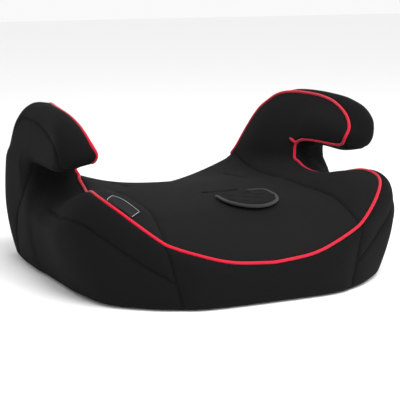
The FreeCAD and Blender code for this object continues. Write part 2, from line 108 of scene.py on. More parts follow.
def spline(points, steps=10):
    """Points along a Catmull-Rom curve through the given ones."""
    p = np.array(points, float)
    p = np.vstack([2 * p[0] - p[1], p, 2 * p[-1] - p[-2]])
    t = np.linspace(0, 1, steps, endpoint=False)[:, None]
    spans = []
    for a, b, c, d in zip(p, p[1:], p[2:], p[3:]):
        square, cube = 2 * a - 5 * b + 4 * c - d, 3 * b - a - 3 * c + d
        spans.append(0.5 * (2 * b + (c - a) * t + square * t**2 + cube * t**3))
    return np.vstack(spans + [p[-2]])


def table(rows):
    """Smooth functions of the first column, one for each other column."""
    line = spline(rows)
    order = np.argsort(line[:, 0])
    line = line[order]
    return [lambda at, k=k: np.interp(at, line[:, 0], line[:, k]) for k in range(1, line.shape[1])]


def smooth_max(a, b, k):
    """The larger of two fields, with the corner rounded over about k."""
    h = np.clip(0.5 + 0.5 * (a - b) / k, 0, 1)
    return b + (a - b) * h + k * h * (1 - h)


def smooth_min(a, b, k):
    """The smaller of two fields, rounded in the same way."""
    return -smooth_max(-a, -b, k)


def smooth_step(x):
    """From 0 to 1 as x does, level at both ends."""
    t = np.clip(x, 0, 1)
    return t * t * (3 - 2 * t)


def outline_distance(outline, y, z):
    """Signed distance from each (y, z) to a closed outline, negative inside."""
    line = spline(outline, 6)
    a, b = line, np.roll(line, -1, 0)
    best = np.full(y.shape, 1e9)
    inside = np.zeros(y.shape, bool)
    for (ay, az), (by, bz) in zip(a, b):
        ey, ez = by - ay, bz - az
        t = np.clip(((y - ay) * ey + (z - az) * ez) / max(ey * ey + ez * ez, 1e-9), 0, 1)
        best = np.minimum(best, np.hypot(y - ay - t * ey, z - az - t * ez))
        if az != bz:
            crosses = ((az > z) != (bz > z)) & (y < ey * (z - az) / ez + ay)
            inside ^= crosses
    return np.where(inside, -best, best)


def radius_table(points):
    """A plan outline as radius against the angle round from the front."""
    line = spline(points)
    turn = np.arctan2(line[:, 0], -line[:, 1])
    order = np.argsort(turn)
    return lambda angle: np.interp(angle, turn[order], np.hypot(line[:, 0], line[:, 1])[order])


floor_radius = radius_table(FLOOR_PLAN)
bulge_radius = radius_table(BULGE_PLAN)
rim_line = spline(RIM)
rim_turn = np.arctan2(rim_line[:, 0], -rim_line[:, 1])
seat_mid, seam_x, seam_z, side_rise = table(SEAT_SECTIONS)
foot_x, foot_z, top_x, top_z = table(ARM_WALL)


def rim_radius(angle):
    """How far out the rim lies. Where the arm hides it, it fades to the bulge."""
    found = np.interp(angle, rim_turn, np.hypot(rim_line[:, 0], rim_line[:, 1]))
    fade = smooth_step((angle - rim_turn[-1]) / (REAR_TURN - rim_turn[-1]))
    return found + fade * (bulge_radius(angle) - 3 - found)


def rim_height(angle):
    """How high the rim lies. Where the arm hides it, it rises into the arm."""
    found = np.interp(angle, rim_turn, rim_line[:, 2])
    return found + smooth_step((angle - rim_turn[-1]) / (REAR_TURN - rim_turn[-1])) * 20


def fields():
    """The form's fields on the right half of the grid."""
    xs, ys, zs = (np.arange(*span, STEP) for span in GRID_SPAN)
    x, y, z = np.meshgrid(xs, ys, zs, indexing="ij")
    plan_x, plan_y = x[:, :, 0], y[:, :, 0]
    angle = np.arctan2(plan_x, -plan_y)
    radius = np.hypot(plan_x, plan_y)
    side_y, side_z = y[0], z[0]

    around = (floor_radius, bulge_radius, rim_radius, rim_height)
    floor, bulge, rim, high = (table_at(angle)[:, :, None] for table_at in around)
    radius = radius[:, :, None]
    # Below the bulge the sides draw in towards the floor.
    low = np.clip((BULGE_HEIGHT - z) / BULGE_HEIGHT, 0, 1.2) ** 1.8
    wall = radius - (bulge + (floor - bulge) * low)
    # Above it the front and the lip curl over to the rim, and the seat climbs inward from there.
    high = high + 1.7 * np.maximum(rim - radius, 0)
    reach = np.maximum(bulge - rim, 1.5)
    drop = np.clip(2.0 * reach, 8, 40)
    curl = np.hypot(np.maximum(radius - bulge + reach, 0) / reach, np.maximum(z - high + drop, 0) / drop) - 1
    curl = curl * np.minimum(reach, drop)
    gradient = np.gradient(curl, STEP)
    curl = curl / np.clip(np.sqrt(sum(g * g for g in gradient)), 0.35, 3)
    hull_low = np.maximum(wall, curl)

    mid, across, seam, rise = (f(plan_y) for f in (seat_mid, seam_x, seam_z, side_rise))
    beyond = np.maximum(plan_x - across, 0)
    power = 2 - 0.3 * smooth_step((plan_y - 60) / 80)
    dish = mid + (seam - mid) * np.minimum(plan_x / across, 1) ** power
    # The lip beside the seat is padded, in front of the belt slot.
    pad = 4.5 * np.sin(np.clip(beyond / 56, 0, 1) * math.pi) * smooth_step((plan_y + 165) / 60)
    pad = pad * (1 - smooth_step((plan_y - 20) / 40))
    top = dish + rise * beyond + pad
    top_gradient = np.gradient(top, STEP)
    slope = np.sqrt(1 + top_gradient[0] ** 2 + top_gradient[1] ** 2)
    top_low = (z - top[:, :, None]) / slope[:, :, None]
    lower = smooth_max(hull_low, top_low, SEAT_ROUND)

    # The arm: its outer side draws in upwards, and its inner wall swells a little.
    draw_in = 10 + 5 * smooth_step((y + 20) / 130)
    hull_arm = radius - (bulge - draw_in * np.clip((z - 96) / 110, 0, 1) ** 1.6)
    hull_arm = np.maximum(hull_arm, wall)
    inner = outline_distance(ARM_INNER_OUTLINE, side_y, side_z)[None]
    outer = outline_distance(ARM_OUTER_OUTLINE, side_y, side_z)[None]
    share = smooth_step((x - HORN_INNER_X) / (HORN_OUTER_X - HORN_INNER_X))
    profile = inner + (outer - inner) * share
    fx, fz, tx, tz = (f(side_y)[None] for f in (foot_x, foot_z, top_x, top_z))
    up = np.clip((z - fz) / (tz - fz), -0.4, 1.5)
    swell = 5.0 * np.sin(np.clip(up, 0, 1) * math.pi) * smooth_step((178 - y) / 60)
    lean = (tx - fx) / (tz - fz)
    face = (fx + (tx - fx) * up - swell - x) / np.sqrt(1 + lean**2)
    arm = smooth_max(smooth_max(hull_arm, profile, HORN_ROUND), face, WALL_ROUND)

    form = smooth_min(lower, arm, ARM_ROUND)
    form = smooth_max(form, FLOOR_GAP - z, FLOOR_ROUND)
    edge_low = radius - rim + 0 * z
    edge_arm = np.maximum(hull_arm, profile) - face
    inner_side = np.where(arm < lower, edge_arm, edge_low)
    return (xs, ys, zs), {"form": form, "inner": inner_side, "arm": lower - arm}


def whole(field):
    """The field on the whole grid, by mirroring the right half."""
    return np.concatenate([field[:0:-1], field], 0)


def draw_surface(form, axes):
    """Surface nets: the zero surface of a field as points and quads."""
    inside = form < 0
    shape = np.array(form.shape) - 1
    total = np.zeros((*shape, 3))
    count = np.zeros(shape)
    corner = [(i, j, k) for i in (0, 1) for j in (0, 1) for k in (0, 1)]

    def part(field, offset):
        return field[tuple(slice(o, o + n) for o, n in zip(offset, shape))]

    for a in corner:
        for axis in range(3):
            if a[axis]:
                continue
            b = tuple(v + (axis == i) for i, v in enumerate(a))
            fa, fb = part(form, a), part(form, b)
            crossed = (fa < 0) != (fb < 0)
            t = np.where(crossed, fa / np.where(crossed, fa - fb, 1), 0)
            for i in range(3):
                total[..., i] += np.where(crossed, a[i] + (t if i == axis else 0), 0)
            count += crossed
    used = count > 0
    number = np.full(shape, -1)
    number[used] = np.arange(used.sum())
    cells = np.argwhere(used)
    points = cells + total[used] / count[used][:, None]
    origin = np.array([axis[0] for axis in axes])
    points = origin + points * STEP

    quads = []
    for axis in range(3):
        u, v = [i for i in range(3) if i != axis]
        if axis == 1:
            u, v = v, u
        first = inside[tuple(slice(None, -1) if i == axis else slice(1, -1) for i in range(3))]
        second = inside[tuple(slice(1, None) if i == axis else slice(1, -1) for i in range(3))]
        for flip, crossing in ((False, first & ~second), (True, second & ~first)):
            at = np.argwhere(crossing)
            at += [0 if i == axis else 1 for i in range(3)]
            ring = []
            for du, dv in ((0, 0), (1, 0), (1, 1), (0, 1)):
                cell = at.copy()
                cell[:, u] -= du
                cell[:, v] -= dv
                ring.append(number[tuple(cell.T)])
            quad = np.stack(ring, 1)
            quads.append(quad[:, ::-1] if flip else quad)
    return points, np.concatenate(quads)


def sample(field, axes, points):
    """The field at any points, between its grid values."""
    at = (points - [axis[0] for axis in axes]) / STEP
    at = np.clip(at, 0, np.array(field.shape) - 1.001)
    low = at.astype(int)
    share = at - low
    value = 0
    for i in (0, 1):
        for j in (0, 1):
            for k in (0, 1):
                weight = np.prod(np.abs(1 - np.array((i, j, k)) - share), axis=1)
                value = value + weight * field[low[:, 0] + i, low[:, 1] + j, low[:, 2] + k]
    return value


# ------------------------------------------------------------ seams and panels
# The edge between the arm's outer panel and the side, closed round the panel's side of it (y, z).
WALL_SEAM = [
    (-110, 138), (-60, 138), (0, 137), (50, 136), (58, 124), (65, 101), (77, 88), (97, 68), (107, 51),
    (118, 33), (128, 5), (136, -30), (150, -60), (260, -60), (260, 300), (-110, 300),
]
# The seam across the side, between its upper and lower panels (y, z).
DIAGONAL_SEAM = [
    (-240, -90), (-173.7, 29.2), (-168.7, 37.7), (-156, 55), (-142.7, 74.5), (-133.6, 84), (-120, 92),
    (-100, 95.5), (-72, 94), (-33, 91), (0, 89.5), (60, 86), (240, 80),
]
# The outer arm panel's edge, where the arm's band begins (y, z).
BAND_SEAM = [
    (-40, -60), (-40, 130), (-50, 143), (-57, 155), (-55, 164), (-46.5, 171.5), (-25.7, 176.5),
    (1.3, 182), (34.5, 186), (74, 187.5), (100, 185), (116, 177), (137, 160), (175, 105), (213, 45),
    (213, -60),
]
SKIRT_HALF, SKIRT_SPREAD = 106.5, 0.244     # the upright front seams: at the floor, and outward with height
SKIRT_BACK = -100.0                         # the front skirt lies before this y
REAR_HALF, REAR_FRONT = 150.0, 100.0        # the rear panel's half width, and the y that it lies behind
SLOT_TOP, SLOT_FRONT, SLOT_BACK = 152.0, -42.0, 70.0
LINING_EDGE, LINING_FOOT = 184.0, 104.0     # the slot lining's outer x, and the lowest z that it reaches
BAND_FOOT, BAND_FOOT_FRONT = 106.0, 133.0   # the arm band's lowest z, behind and in front of ARM_MIDDLE
ARM_MIDDLE = 60.0
TOP_FOOT, TOP_FOOT_SIDE = 34.0, 80.0        # the top panels' lowest z, in the middle and beyond REAR_HALF
HEM_TOP, HEM_WIDTH = 0.7, 19.0              # above the cover's lower edge, and in from its outline
diagonal_z = table(DIAGONAL_SEAM)[0]


def seam_scalars(points, grids, axes):
    """For each cut across the form, a number at each point that changes sign on it."""
    x, y, z = np.abs(points[:, 0]), points[:, 1], points[:, 2]
    found = {name: sample(grids[name], axes, points) for name in ("inner", "arm")}
    angle = np.arctan2(x, -y)
    found["seat"] = x - seam_x(y)
    found["skirt"] = x - SKIRT_HALF - SKIRT_SPREAD * z
    found["wall"] = -outline_distance(WALL_SEAM, y, z)
    found["diagonal"] = z - diagonal_z(y)
    found["band"] = outline_distance(BAND_SEAM, y, z)
    found["lining"] = LINING_EDGE - x
    found["slot_front"] = y - SLOT_FRONT
    found["slot_top"] = z - SLOT_TOP
    found["band_foot"] = z - BAND_FOOT
    found["rear"] = x - REAR_HALF
    found["hem"] = z - FLOOR_GAP - HEM_TOP
    found["under"] = np.hypot(x, y) - floor_radius(angle) + HEM_WIDTH
    return found


# The order in which the form is cut.
CUTS = ("inner", "seat", "skirt", "wall", "diagonal", "band", "lining", "band_foot", "arm", "slot_front",
        "rear", "hem", "under")
PANELS = ("seat_panel", "arm_inner", "front_skirt", "rear_panel", "arm_outer", "side_lower", "side_upper",
          "arm_band", "slot_lining", "hem", "underneath")
ONE_PIECE = {"seat_panel", "front_skirt", "rear_panel", "hem"}     # the others are one on each side


def panel_numbers(points, grids, axes):
    """The number of the panel that each point lies in."""
    s = seam_scalars(points, grids, axes)
    y, z = points[:, 1], points[:, 2]
    # Each rule overrides the ones above it.
    kind = np.where(s["diagonal"] < 0, PANELS.index("side_lower"), PANELS.index("side_upper"))
    kind[s["wall"] > 0] = PANELS.index("arm_outer")
    kind[(s["rear"] < 0) & (y > REAR_FRONT)] = PANELS.index("rear_panel")
    kind[(s["skirt"] < 0) & (y < SKIRT_BACK)] = PANELS.index("front_skirt")
    in_slot = (s["slot_front"] > 0) & (s["slot_top"] < 0) & (y < SLOT_BACK)
    on_arm = z > np.where(y > ARM_MIDDLE, BAND_FOOT, BAND_FOOT_FRONT)
    kind[on_arm & ~in_slot & ((s["band"] > 0) | (s["rear"] < 0))] = PANELS.index("arm_band")
    lined = (s["arm"] > 0) & (z > LINING_FOOT) & (s["lining"] > 0)
    kind[in_slot & lined] = PANELS.index("slot_lining")
    inner = (s["inner"] < 0) & (z > TOP_FOOT) & ((s["rear"] < 0) | (z > TOP_FOOT_SIDE))
    kind[inner & (s["seat"] < 0)] = PANELS.index("seat_panel")
    kind[inner & (s["seat"] > 0)] = PANELS.index("arm_inner")
    low = s["hem"] < 0
    kind[low] = PANELS.index("hem")
    kind[low & (s["under"] < 0)] = PANELS.index("underneath")
    return kind


END_SHARE = 0.12                            # a cut keeps this far from an edge's ends, as a share of it


def cut_along(mesh, scalar):
    """Cuts every edge of the mesh where the scalar changes sign, and joins the cuts across the faces."""
    bm = bmesh.new()
    bm.from_mesh(mesh)
    bm.verts.ensure_lookup_table()
    ends = np.array([[v.index for v in e.verts] for e in bm.edges])
    a, b = scalar[ends[:, 0]], scalar[ends[:, 1]]
    crossed = np.flatnonzero((a < 0) != (b < 0))
    shares = np.clip(a[crossed] / (a[crossed] - b[crossed]), END_SHARE, 1 - END_SHARE)
    bm.edges.ensure_lookup_table()
    edges = [bm.edges[i] for i in crossed]
    made = []
    for edge, share in zip(edges, shares):
        made.append(bmesh.utils.edge_split(edge, edge.verts[0], float(share))[1])
    bmesh.ops.connect_verts(bm, verts=made)
    bm.to_mesh(mesh)
    bm.free()


def vertex_array(mesh):
    points = np.empty(len(mesh.vertices) * 3)
    mesh.vertices.foreach_get("co", points)
    return points.reshape(-1, 3)


def normal_array(mesh):
    normals = np.empty(len(mesh.vertices) * 3, np.float32)
    mesh.vertices.foreach_get("normal", normals)
    return normals.reshape(-1, 3).astype(float)


def new_mesh(name, points, faces):
    mesh = bpy.data.meshes.new(name)
    mesh.from_pydata(np.asarray(points).tolist(), [], [list(map(int, f)) for f in faces])
    mesh.update()
    return mesh


def new_object(name, mesh, material):
    piece = bpy.data.objects.new(name, mesh)
    bpy.context.scene.collection.objects.link(piece)
    mesh.materials.append(material)
    mesh.polygons.foreach_set("use_smooth", [True] * len(mesh.polygons))
    return piece


def relax(mesh, rounds, share):
    """Evens out the surface a little, with no change of volume to speak of."""
    ends = np.empty(len(mesh.edges) * 2, int)
    mesh.edges.foreach_get("vertices", ends)
    ends = ends.reshape(-1, 2)
    points = vertex_array(mesh)
    count = np.bincount(ends.ravel(), minlength=len(points))[:, None]
    for weight in [share, -share * 1.03] * rounds:
        total = np.zeros_like(points)
        np.add.at(total, ends[:, 0], points[ends[:, 1]])
        np.add.at(total, ends[:, 1], points[ends[:, 0]])
        points = points + weight * (total / np.maximum(count, 1) - points)
    mesh.vertices.foreach_set("co", points.ravel())
    mesh.update()


def seat_form():
    """The whole form's mesh, cut along every seam, with each face's panel."""
    half_axes, grids = fields()
    axes = (np.concatenate([-half_axes[0][:0:-1], half_axes[0]]), half_axes[1], half_axes[2])
    grids = {name: whole(grid) for name, grid in grids.items()}
    points, quads = draw_surface(grids["form"], axes)
    mesh = new_mesh("form", points, quads)
    relax(mesh, 3, 0.5)
    for name in CUTS:
        cut_along(mesh, seam_scalars(vertex_array(mesh), grids, axes)[name])
    centres = np.empty(len(mesh.polygons) * 3)
    mesh.polygons.foreach_get("center", centres)
    centres = centres.reshape(-1, 3)
    kinds = panel_numbers(centres, grids, axes)
    side = np.where(centres[:, 0] > 0, 1, 0)
    single = np.isin(kinds, [PANELS.index(name) for name in ONE_PIECE | {"underneath"}])
    return mesh, kinds, np.where(single, 0, side)


def seam_edges(mesh, kinds, sides):
    """Edges between two panels, as vertex pairs, with both panels' codes: twice the kind, plus the side."""
    code = kinds * 2 + sides
    owners = {}
    for polygon in mesh.polygons:
        for key in polygon.edge_keys:
            owners.setdefault(key, []).append(code[polygon.index])
    return {key: tuple(sorted(c)) for key, c in owners.items() if len(c) == 2 and c[0] != c[1]}


TOP_PANELS = {PANELS.index("seat_panel"), PANELS.index("arm_inner")}
GROOVE, GROOVE_REACH = 1.5, 2.0             # how deep and how wide a seam draws the cover in
PUFF, PUFF_REACH = 2.2, 15.0                # how far a panel stands proud between its seams
SETTLE = 0.2                                # how far the whole cover lies inside the drawn form


def puff_panels(mesh, seams):
    """Draws the surface in along the seams, and lets it stand proud between them."""
    points, normals = vertex_array(mesh), normal_array(mesh)
    on_seam = sorted({v for key in seams for v in key})
    tree = KDTree(len(on_seam))
    for i in on_seam:
        tree.insert(points[i], i)
    tree.balance()
    away = np.array([tree.find(p)[2] for p in points])
    puff = PUFF * (1 - np.exp(-(away / PUFF_REACH) ** 1.3))
    groove = GROOVE * np.exp(-((away / GROOVE_REACH) ** 2))
    shift = puff - groove - SETTLE
    shift += folds(points)
    shift *= smooth_step((points[:, 2] - FLOOR_GAP - 0.5) / 6)
    points += normals * shift[:, None]
    mesh.vertices.foreach_set("co", points.ravel())
    mesh.update()


# The harness slits, each along a line of points.
SLITS = {
    "slit_centre": [(-24, -44, 101.5), (0, -45.5, 101.5), (24, -44, 101.5)],
    "slit_left": [(-80, 45, 98.5), (-80.5, 76, 96), (-80, 107, 92)],
    "slit_right": [(80, 45, 98.5), (80.5, 76, 96), (80, 107, 92)],
}
# Creases and ridges by the belt slot and on the side: the line, its width and its height.
CREASES = [
    ([(179, 46, 115), (169, 41, 121.5), (156, 40.5, 125)], 3.0, -2.4),
    ([(183, 45, 108), (172, 40, 115), (160, 38, 118)], 3.5, 1.6),
    ([(206, 28, 110), (205, 10, 98), (203, -6, 91)], 4.0, -1.6),
    ([(208, -60, 84), (201, -108, 84), (176, -144, 60), (150, -160, 38)], 5.0, 0.9),
]
FOLDS = [(route, 2.6, -1.8) for route in SLITS.values()]
FOLDS += [([(side * x, y, z) for x, y, z in route], width, height)
          for route, width, height in CREASES for side in (-1, 1)]


def folds(points):
    """Soft creases and ridges: each a line of points, a width, and a height that fades to its ends."""
    shift = np.zeros(len(points))
    for route, width, height in FOLDS:
        line = spline(route, 8)
        near = np.full(len(points), 1e9)
        share = np.zeros(len(points))
        for i, (a, b) in enumerate(zip(line, line[1:])):
            along = np.clip((points - a) @ (b - a) / max((b - a) @ (b - a), 1e-9), 0, 1)
            distance = np.linalg.norm(points - a - along[:, None] * (b - a), axis=1)
            closer = distance < near
            near[closer] = distance[closer]
            share[closer] = ((i + along) / (len(line) - 1))[closer]
        shift += height * np.exp(-((near / width) ** 2)) * np.sin(np.clip(share, 0, 1) * math.pi) ** 0.6
    return shift


def ordered(edges):
    """The longest chain of vertices through these edges, in order."""
    links = {}
    for a, b in edges:
        links.setdefault(a, []).append(b)
        links.setdefault(b, []).append(a)
    best = []
    while links:
        start = next((v for v in sorted(links) if len(links[v]) == 1), min(links))
        chain = [start]
        while links.get(chain[-1]):
            here = chain[-1]
            step = links[here].pop()
            links[step].remove(here)
            chain.append(step)
        for v in [v for v in links if not links[v]]:
            del links[v]
        if len(chain) > len(best):
            best = chain
    return best


def even_line(points, pitch, rounds):
    """The line resampled at an even pitch, and smoothed."""
    points = np.asarray(points, float)
    for _ in range(rounds):
        points[1:-1] = (points[:-2] + 2 * points[1:-1] + points[2:]) / 4
    length = np.concatenate([[0], np.cumsum(np.linalg.norm(np.diff(points, axis=0), axis=1))])
    at = np.linspace(0, length[-1], max(int(length[-1] / pitch), 4))
    return np.stack([np.interp(at, length, points[:, k]) for k in range(3)], 1)


END_SWELL = (0.45, 0.85, 1.0)               # a tube's radius over its last rings, as shares of the whole


def tube_mesh(name, line, radius, sides=12, flat=1.0, up=None):
    """A round or flattened tube along a line, with rounded ends."""
    line = np.asarray(line, float)
    ahead = np.gradient(line, axis=0)
    ahead /= np.linalg.norm(ahead, axis=1)[:, None]
    across = np.cross(ahead[0], (0, 0, 1) if up is None else up)
    points, count = [], len(line)
    for i in range(count):
        across = across - ahead[i] * (across @ ahead[i])
        across /= np.linalg.norm(across)
        other = np.cross(ahead[i], across)
        from_end = min(i, count - 1 - i)
        swell = END_SWELL[min(from_end, 2)]
        for k in range(sides):
            a = 2 * math.pi * k / sides
            points.append(line[i] + radius * swell * (math.cos(a) * across + flat * math.sin(a) * other))
    faces = []
    for i in range(count - 1):
        near, far = i * sides, (i + 1) * sides
        for k in range(sides):
            after = (k + 1) % sides
            faces.append((near + k, near + after, far + after, far + k))
    faces.append(tuple(range(sides))[::-1])
    faces.append(tuple(range((count - 1) * sides, count * sides)))
    mesh = new_mesh(name, np.array(points), faces)
    layer = mesh.uv_layers.new(name="weave")
    length = np.concatenate([[0], np.cumsum(np.linalg.norm(np.diff(line, axis=0), axis=1))])
    for loop in mesh.loops:
        row, k = divmod(loop.vertex_index, sides)
        layer.data[loop.index].uv = (length[row] * MM, k / sides * 2 * math.pi * radius * MM)
    return mesh


def piece_from(name, mesh, material, body, replaced):
    """Turns millimetres to metres, and puts the piece on its body."""
    mesh.transform(Matrix.Scale(MM, 4))
    piece = new_object(name, mesh, material)
    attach(piece, body)
    if replaced:
        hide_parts(*replaced)
    return piece


def panel_uv(mesh, kind):
    """Lays the cloth's grain on a panel, in metres along and across it."""
    points = vertex_array(mesh)
    x, y, z = points.T
    if PANELS[kind] in ("seat_panel", "hem", "underneath"):
        u, v = x, y
    elif PANELS[kind] in ("arm_inner", "arm_band", "slot_lining"):
        u, v = y, z + 0.6 * np.abs(x)
    else:
        u, v = np.arctan2(x, -y) * 200, z
    layer = mesh.uv_layers.new(name="weave")
    index = np.empty(len(mesh.loops), int)
    mesh.loops.foreach_get("vertex_index", index)
    layer.data.foreach_set("uv", np.stack([u[index], v[index]], 1).astype(np.float32).ravel() * MM)


def panel_piece(mesh, kinds, sides, kind, side):
    """One panel of the cover, as an open sheet."""
    faces = np.flatnonzero((kinds == kind) & (sides == side))
    polygons = [tuple(mesh.polygons[i].vertices) for i in faces]
    used = sorted({v for p in polygons for v in p})
    place = {v: i for i, v in enumerate(used)}
    points = vertex_array(mesh)[used]
    panel = new_mesh("panel", points, [[place[v] for v in p] for p in polygons])
    panel_uv(panel, kind)
    return panel


def close_laminate(piece, thickness):
    """Gives an open sheet its thickness, inwards, for good."""
    solid = piece.modifiers.new("laminate", "SOLIDIFY")
    solid.thickness = thickness * MM
    solid.offset = -1
    solid.use_rim = True
    made = bpy.data.meshes.new_from_object(piece.evaluated_get(bpy.context.evaluated_depsgraph_get()))
    piece.modifiers.clear()
    old = piece.data
    made.name = old.name
    piece.data = made
    bpy.data.meshes.remove(old)


# ------------------------------------------------------------ materials
def start_material(name, colour, roughness, sheen=0.0, specular=0.4):
    """A plain surface to build a material on: its nodes, their links and its shader too."""
    material = bpy.data.materials.new(name)
    material.use_nodes = True
    nodes, links = material.node_tree.nodes, material.node_tree.links
    shader = nodes["Principled BSDF"]
    shader.inputs["Base Color"].default_value = (*colour, 1)
    shader.inputs["Roughness"].default_value = roughness
    shader.inputs["Specular IOR Level"].default_value = specular
    shader.inputs["Sheen Weight"].default_value = sheen
    shader.inputs["Sheen Roughness"].default_value = 0.45
    return material, nodes, links, shader


def maths(nodes, links, kind, a, b=None):
    node = nodes.new("ShaderNodeMath")
    node.operation = kind
    for socket, value in zip(node.inputs, (a, b)):
        if value is None:
            continue
        if isinstance(value, (int, float)):
            socket.default_value = value
        else:
            links.new(value, socket)
    return node.outputs[0]


def noise(nodes, links, vector, scale, detail=2.0):
    node = nodes.new("ShaderNodeTexNoise")
    node.inputs["Scale"].default_value = scale
    node.inputs["Detail"].default_value = detail
    links.new(vector, node.inputs["Vector"])
    return node.outputs["Fac"]


def cloth(name, dark, light, pitch, roughness, sheen, relief, slant=1.0):
    """Knitted or woven cloth: crossing rows at a real pitch, slightly uneven in tone and relief."""
    material, nodes, links, shader = start_material(name, dark, roughness, sheen, 0.07)
    grain = nodes.new("ShaderNodeUVMap")
    grain.uv_map = "weave"
    place = nodes.new("ShaderNodeTexCoord").outputs["Object"]
    parts = nodes.new("ShaderNodeSeparateXYZ")
    links.new(grain.outputs["UV"], parts.inputs[0])
    turns = 2 * math.pi / pitch
    u = maths(nodes, links, "MULTIPLY", parts.outputs[0], turns)
    v = maths(nodes, links, "MULTIPLY", parts.outputs[1], turns * slant)
    rows = maths(nodes, links, "SINE", maths(nodes, links, "ADD", u, v))
    columns = maths(nodes, links, "SINE", maths(nodes, links, "SUBTRACT", u, v))
    knit = maths(nodes, links, "MULTIPLY", rows, columns)
    patch = noise(nodes, links, place, 14.0, 3.0)
    fuzz = noise(nodes, links, place, 1400.0, 2.0)
    # The lighter yarn shows by the knit, and in broad patches.
    tone = maths(nodes, links, "ADD", maths(nodes, links, "MULTIPLY", knit, 0.22), 0.32)
    tone = maths(nodes, links, "ADD", tone, maths(nodes, links, "MULTIPLY", patch, 0.35))
    mix = nodes.new("ShaderNodeMix")
    mix.data_type = "RGBA"
    # Sockets 6 and 7 and output 2 are the colour ones.
    mix.inputs[6].default_value = (*dark, 1)
    mix.inputs[7].default_value = (*light, 1)
    links.new(tone, mix.inputs[0])
    links.new(mix.outputs[2], shader.inputs["Base Color"])
    height = maths(nodes, links, "ADD", knit, maths(nodes, links, "MULTIPLY", fuzz, 0.8))
    bump = nodes.new("ShaderNodeBump")
    bump.inputs["Strength"].default_value = relief
    bump.inputs["Distance"].default_value = 0.0004
    links.new(height, bump.inputs["Height"])
    links.new(bump.outputs["Normal"], shader.inputs["Normal"])
    return material


def moulded(name, colour, roughness):
    """Moulded plastic with a fine spark-eroded grain."""
    material, nodes, links, shader = start_material(name, colour, roughness)
    place = nodes.new("ShaderNodeTexCoord").outputs["Object"]
    grain = noise(nodes, links, place, 900.0, 3.0)
    wear = noise(nodes, links, place, 22.0, 4.0)
    rough = maths(nodes, links, "ADD", maths(nodes, links, "MULTIPLY", wear, 0.2), roughness - 0.1)
    links.new(rough, shader.inputs["Roughness"])
    bump = nodes.new("ShaderNodeBump")
    bump.inputs["Strength"].default_value = 0.25
    bump.inputs["Distance"].default_value = 0.0003
    links.new(grain, bump.inputs["Height"])
    links.new(bump.outputs["Normal"], shader.inputs["Normal"])
    return material


def steel(name):
    """Zinc-plated steel with an uneven polish."""
    material, nodes, links, shader = start_material(name, (0.55, 0.55, 0.57), 0.35)
    shader.inputs["Metallic"].default_value = 1.0
    place = nodes.new("ShaderNodeTexCoord").outputs["Object"]
    brushed = maths(nodes, links, "MULTIPLY", noise(nodes, links, place, 300.0), 0.3)
    rough = maths(nodes, links, "ADD", brushed, 0.2)
    links.new(rough, shader.inputs["Roughness"])
    return material


# Each cloth's name, darker and lighter yarn, pitch in metres, roughness, sheen, relief and slant.
KNIT_TOP = cloth("knit_top", (0.0050, 0.0050, 0.0052), (0.0102, 0.0102, 0.0106), 0.0014, 0.86, 0.006, 0.6)
KNIT_SIDE = cloth("knit_side", (0.0034, 0.0034, 0.0036), (0.0068, 0.0068, 0.0070), 0.0014, 0.88, 0.004, 0.6)
PIPING = cloth("piping_satin", (0.40, 0.003, 0.016), (0.58, 0.013, 0.040), 0.0011, 0.45, 0.15, 0.35, 0.3)
TAPE = cloth("tape", (0.012, 0.012, 0.013), (0.035, 0.035, 0.038), 0.0012, 0.7, 0.2, 0.6, 0.3)
RIM_TAPE = cloth("rim_tape", (0.015, 0.015, 0.016), (0.036, 0.036, 0.038), 0.0012, 0.6, 0.1, 0.6, 0.3)
LABEL_CLOTH = cloth("label_cloth", (0.006, 0.006, 0.007), (0.02, 0.02, 0.022), 0.0009, 0.6, 0.0, 0.4)
THREAD = cloth("label_thread", (0.35, 0.35, 0.36), (0.6, 0.6, 0.6), 0.0009, 0.6, 0.0, 0.4)
# A near-black cloth: painted shadow standing for the shade inside the slits' openings.
SHADOW = cloth("slit_painted_shadow", (0.001, 0.001, 0.001), (0.003, 0.003, 0.003), 0.0014, 0.9, 0.0, 0.3)
SHELL = moulded("shell_plastic", (0.03, 0.03, 0.032), 0.5)
STEEL = steel("screw_steel")


# ------------------------------------------------------------ the cover
SIDE_NAMES = {0: "left", 1: "right"}
# The CAD nodes that each panel replaces, with a gap for the side's name.
STANDS_FOR = {
    "seat_panel": ["cover_seat_panel", "seat_foam"],
    "front_skirt": ["cover_front_skirt", "front_foam"],
    "rear_panel": ["cover_rear_panel"],
    "hem": ["cover_hem"],
    "arm_inner": ["cover_arm_inner_{}", "arm_foam_{}"],
    "arm_outer": ["cover_arm_outer_{}"],
    "arm_band": ["cover_arm_band_{}"],
    "slot_lining": ["cover_slot_lining_{}"],
    "side_lower": ["cover_side_lower_{}", "side_foam_{}"],
    "side_upper": ["cover_side_upper_{}"],
}
UNSEWN = {PANELS.index(name) for name in ("underneath", "hem", "slot_lining")}
FLANK = {PANELS.index("side_lower"), PANELS.index("side_upper")}
FLANK_SEAM_END = -6.0                       # the seam between the flank's panels fades out behind this y


def is_sewn(codes, point):
    """Whether an edge between two panels is drawn in as a seam: not inside the slot, nor under the rim."""
    kinds = {code // 2 for code in codes}
    if kinds & UNSEWN and not kinds & TOP_PANELS:
        return False
    return not (kinds == FLANK and point[1] > FLANK_SEAM_END)


PIPING_STAND = 1.6                          # how far its middle stands off the seam
PIPING_BACK, PIPING_FOOT = 181.0, 108.0     # the rear edge: behind this y and below this z
WIDE_GAP = 40.0
SLOT_CORNER = (152.0, 42.0, 139.0)          # the belt slot's inner end, where the piping's lengths meet


